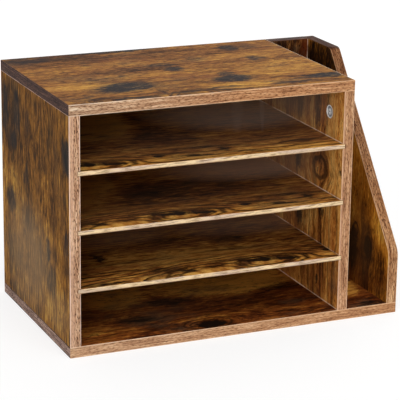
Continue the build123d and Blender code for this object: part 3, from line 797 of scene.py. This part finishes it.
# Die-cast zinc, tumbled: pale grey with a fine cast grain, darker in its recesses, which is painted shade
# from ambient occlusion.
# Its face has a bright rim, a groove in it painted darker as shade inside the rim, and a paler hub, told
# apart by the distance from the middle.
castZinc = {
    "colour": "#FFFFFF", "recessShade": "#45454A", "roughness": (0.35, 0.55), "metallic": 0.1,
    "grainSize": 0.35,          # this and the next two are millimetres
    "smearSize": 3,
    "shadeReach": 4,
    "faces": camFaces(camPlaces),
    # the groove's darker stops are painted shade inside the rim
    "rings": [(0.0, "#FFFFFF"), (0.38, "#FFFFFF"), (0.52, "#94979E"), (0.68, "#82868E"), (0.8, "#FFFDFA")],
    "rimSpan": (0.66, 0.88),    # where it rises from the groove, in the rings' shares
    "ringHeight": 0.5,          # millimetres that the rim stands over the groove, rounded
    "ringSpan": 8,              # millimetres from the middle where the rings end
}
# Zinc-plated steel: a little brighter and smoother, with the turning marks of the thread rolling.
platedSteel = {
    "colour": "#BFC0BE", "recessShade": "#77787A", "roughness": (0.22, 0.36), "metallic": 1, "grainSize": 0.2,
    "smearSize": 3, "shadeReach": 4, "faces": [],
}


def ringedFace(tree, given, place, smears):
    # distance from the nearest disc's middle, in shares of the ring span, a little rough
    away = [addNode(tree, "VectorMath DISTANCE", {1: Vector(middle) * millimetre, 0: place})
            for middle in given["faces"]]
    nearest = combined(tree, "Math MINIMUM", away)
    rough = addNode(tree, "Math MULTIPLY_ADD", {1: 0.3, 2: -0.15, 0: smears})
    return addNode(tree, "Math MULTIPLY_ADD", {
        1: 1 / (given["ringSpan"] * millimetre), 0: nearest, 2: rough})


def metalPiece(name, node, given):
    material, tree = newMaterial(name)
    place = addNode(tree, "TexCoord").outputs["Object"]
    grain = addNode(tree, "TexNoise", {
        "Scale": 1 / (given["grainSize"] * millimetre), "Detail": 3, "Vector": place})
    smears = addNode(tree, "TexNoise", {
        "Scale": 1 / (given["smearSize"] * millimetre), "Detail": 3, "Vector": place})
    # painted shade: the colour falls to the recess shade where ambient occlusion finds the piece sheltered
    occlusionShade = addNode(tree, "AmbientOcclusion", {
        "Distance": given["shadeReach"] * millimetre, "samples": 8})
    openness = addNode(tree, "MapRange", {
        "From Min": 0.15, "From Max": 0.4, "Value": occlusionShade.outputs["AO"]})
    mixed = addNode(tree, "Math MULTIPLY_ADD", {1: 0.4, 2: -0.2, 0: smears})
    brightness = addNode(tree, "Math ADD", {"use_clamp": True, 0: openness, 1: mixed})
    colour = addNode(tree, "Mix", {"A": given["recessShade"], "B": given["colour"], "Factor": brightness})
    gloss = addNode(tree, "MapRange", {
        "To Min": given["roughness"][0], "To Max": given["roughness"][1], "Value": grain})
    bump = addNode(tree, "Bump", {"Strength": 0.3, "Distance": 0.00006, "Height": grain})
    if given["faces"]:
        reach = ringedFace(tree, given, place, smears)
        rings = addNode(tree, "ValToRGB", {"Fac": reach}, stops=given["rings"])
        colour = addNode(tree, "Mix", {"blend_type": "MULTIPLY", 0: 1.0, "A": colour, "B": rings})
        rim = softMask(tree, reach, given["rimSpan"])
        bump = addNode(tree, "Bump", {
            "Strength": 0.8, "Distance": given["ringHeight"] * millimetre, "Height": rim, "Normal": bump})
    dress(node, material, {
        "Metallic": given["metallic"], "Base Color": colour, "Roughness": gloss, "Normal": bump})


metalPiece("dieCastZinc", "cam_locks", castZinc)
metalPiece("zincPlatedSteelBolts", "cam_bolts", platedSteel)
metalPiece("zincPlatedSteelScrews", "base_screws", platedSteel)

# Turned beech, bare: pale pinkish tan with short dark flecks along the grain.
beech = {
    "light": "#D8B587", "dark": "#B98E5E", "fleck": "#8A6038",
    "toneSize": (12, 1.5), "fleckSize": (2.2, 0.35),        # length and width in millimetres
}


def beechDowels(node, given):
    material, tree = newMaterial("turnedBeech")
    (along, across, depth), facing, size = boardPlaces(tree, node, "zyx")
    tones = stretchedNoise(tree, along, across, depth, given["toneSize"], 3)
    flecks = stretchedNoise(tree, along, across, depth, given["fleckSize"], 1)
    colour = addNode(tree, "Mix", {"A": given["dark"], "B": given["light"], "Factor": tones})
    fleckMask = addNode(tree, "MapRange", {"From Min": 0.6, "From Max": 0.7, "To Max": 0.7, "Value": flecks})
    colour = coated(tree, colour, [(given["fleck"], fleckMask)])
    bump = addNode(tree, "Bump", {"Strength": 0.3, "Distance": 0.0001, "Height": flecks})
    dress(node, material, {"IOR": 1.5, "Roughness": 0.7, "Base Color": colour, "Normal": bump})


beechDowels("wooden_dowels", beech)
print("fasteners finished")

# Camera of the photograph: a long lens from the front left, a little above. Places are millimetres.
camera = {
    "place": (-806.6, -1840.0, 728.0), "yaw": 0.4136, "pitch": -0.2930, "roll": 0.0140, "lens": 167.08,
    "sensor": 36, "farthest": 100000,
}


def placeCamera(given):
    data = bpy.data.cameras.new("photoCamera")
    data.lens = given["lens"]
    data.sensor_width = given["sensor"]
    data.clip_end = given["farthest"] * millimetre
    seen = bpy.data.objects.new("photoCamera", data)
    bpy.context.scene.collection.objects.link(seen)
    yaw, pitch, roll = given["yaw"], given["pitch"], given["roll"]
    forward = Vector((math.sin(yaw) * math.cos(pitch), math.cos(yaw) * math.cos(pitch), math.sin(pitch)))
    level = Vector((math.cos(yaw), -math.sin(yaw), 0))
    upward = level.cross(forward)
    right = math.cos(roll) * level + math.sin(roll) * upward
    above = math.cos(roll) * upward - math.sin(roll) * level
    turned = Matrix((right, above, -forward)).transposed().to_4x4()
    seen.matrix_world = Matrix.Translation(Vector(given["place"]) * millimetre) @ turned
    bpy.context.scene.camera = seen


placeCamera(camera)

# Studio: an even white surround, a wide soft light from the front above, a low fill and a weak back light
studio = {
    "surround": 0.38,
    "lamps": {                  # share of full brightness, turn from the front, height, softness in degrees
        "keyLight": (0.42, -12, 62, 45),
        "fillLight": (0.52, -42, 8, 45),
        "backLight": (0.14, 150, 45, 60),
    },
    "floorSize": 40,            # metres
    "floorColour": "#E6E6E4",
    "floorDrop": 0.1,           # millimetres under the base, so that the two faces don't coincide
    "floorGlow": 0.64,
    "floorShade": 0.42,         # what the lamps add to the glow, which leaves the shadow visible
}


def softSun(name, level, turn, height, softness):
    # level is the share of full brightness that a face turned to the light gets; a turn of 0 is the front
    data = bpy.data.lights.new(name, "SUN")
    data.energy = level * math.pi
    data.angle = math.radians(softness)
    lamp = bpy.data.objects.new(name, data)
    bpy.context.scene.collection.objects.link(lamp)
    a, e = math.radians(turn), math.radians(height)
    fromLight = Vector((math.sin(a) * math.cos(e), -math.cos(a) * math.cos(e), math.sin(e)))
    lamp.rotation_euler = fromLight.to_track_quat("Z", "Y").to_euler()


def seenDirectly(tree, rays):
    # 1 for camera, glossy and transmission rays, so that metal shows the white surround too
    shown = addNode(tree, "Math MAXIMUM", {
        0: rays.outputs["Is Camera Ray"], 1: rays.outputs["Is Glossy Ray"]})
    return addNode(tree, "Math MAXIMUM", {0: shown, 1: rays.outputs["Is Transmission Ray"]})


def whiteSurround(given):
    world = bpy.data.worlds.new("whiteSurround")
    world.use_nodes = True
    tree = world.node_tree
    tree.nodes.clear()
    strength = addNode(tree, "MapRange", {
        "To Min": given["surround"], "To Max": 1.0, "Value": seenDirectly(tree, addNode(tree, "LightPath"))})
    glow = addNode(tree, "Background", {"Color": "#FFFFFF", "Strength": strength})
    addNode(tree, "OutputWorld", {"Surface": glow})
    bpy.context.scene.world = world


def paperFloor(given):
    # white where the camera sees it, and darker to the light that it throws back at the object
    level = -given["floorDrop"] * millimetre
    bpy.ops.mesh.primitive_plane_add(size=given["floorSize"], location=(0, 0, level))
    floor = bpy.context.object
    floor.name = "paperFloor"
    material, tree = newMaterial("whitePaperSweep")
    bounce = addNode(tree, "BsdfDiffuse", {"Color": given["floorColour"]})
    dim = addNode(tree, "BsdfDiffuse", {"Color": (given["floorShade"],) * 3 + (1,)})
    white = addNode(tree, "Emission", {"Color": "#FFFFFF", "Strength": given["floorGlow"]})
    shadowed = addNode(tree, "AddShader", {0: dim, 1: white})
    rays = addNode(tree, "LightPath")
    surface = addNode(tree, "MixShader", {0: seenDirectly(tree, rays), 1: bounce, 2: shadowed})
    # clear from below, and to the light that the underside needs there
    side = addNode(tree, "NewGeometry")
    touching = addNode(tree, "Math LESS_THAN", {
        1: given["floorDrop"] * 4 * millimetre, 0: rays.outputs["Ray Length"]})
    clear = addNode(tree, "Math MAXIMUM", {0: side.outputs["Backfacing"], 1: touching})
    nothing = addNode(tree, "BsdfTransparent")
    surface = addNode(tree, "MixShader", {0: clear, 1: surface, 2: nothing})
    addNode(tree, "OutputMaterial", {"Surface": surface})
    floor.data.materials.append(material)


for name, lamp in studio["lamps"].items():
    softSun(name, *lamp)
whiteSurround(studio)
paperFloor(studio)
bpy.context.scene.view_settings.view_transform = "Standard"
print("camera, lights and floor placed")

# Softened edges, so that they catch the light as trimmed and sanded edges do; widths are millimetres
softEdges = {"width": 0.35, "weld": 0.01, "segments": 2, "angle": 35}
trimmedStrips = {**softEdges, "width": 0.2}


def softenEdges(node, given):
    weld = nodes[node].modifiers.new("joinedFaces", "WELD")
    weld.merge_threshold = given["weld"] * millimetre
    bevel = nodes[node].modifiers.new("sandedEdge", "BEVEL")
    bevel.width = given["width"] * millimetre
    bevel.segments = given["segments"]
    bevel.limit_method = "ANGLE"
    bevel.angle_limit = math.radians(given["angle"])
    bevel.harden_normals = True


for node in bandNodes:
    softenEdges(node, trimmedStrips)
for node in shelves:
    softenEdges(node, softEdges)
print("edges softened")
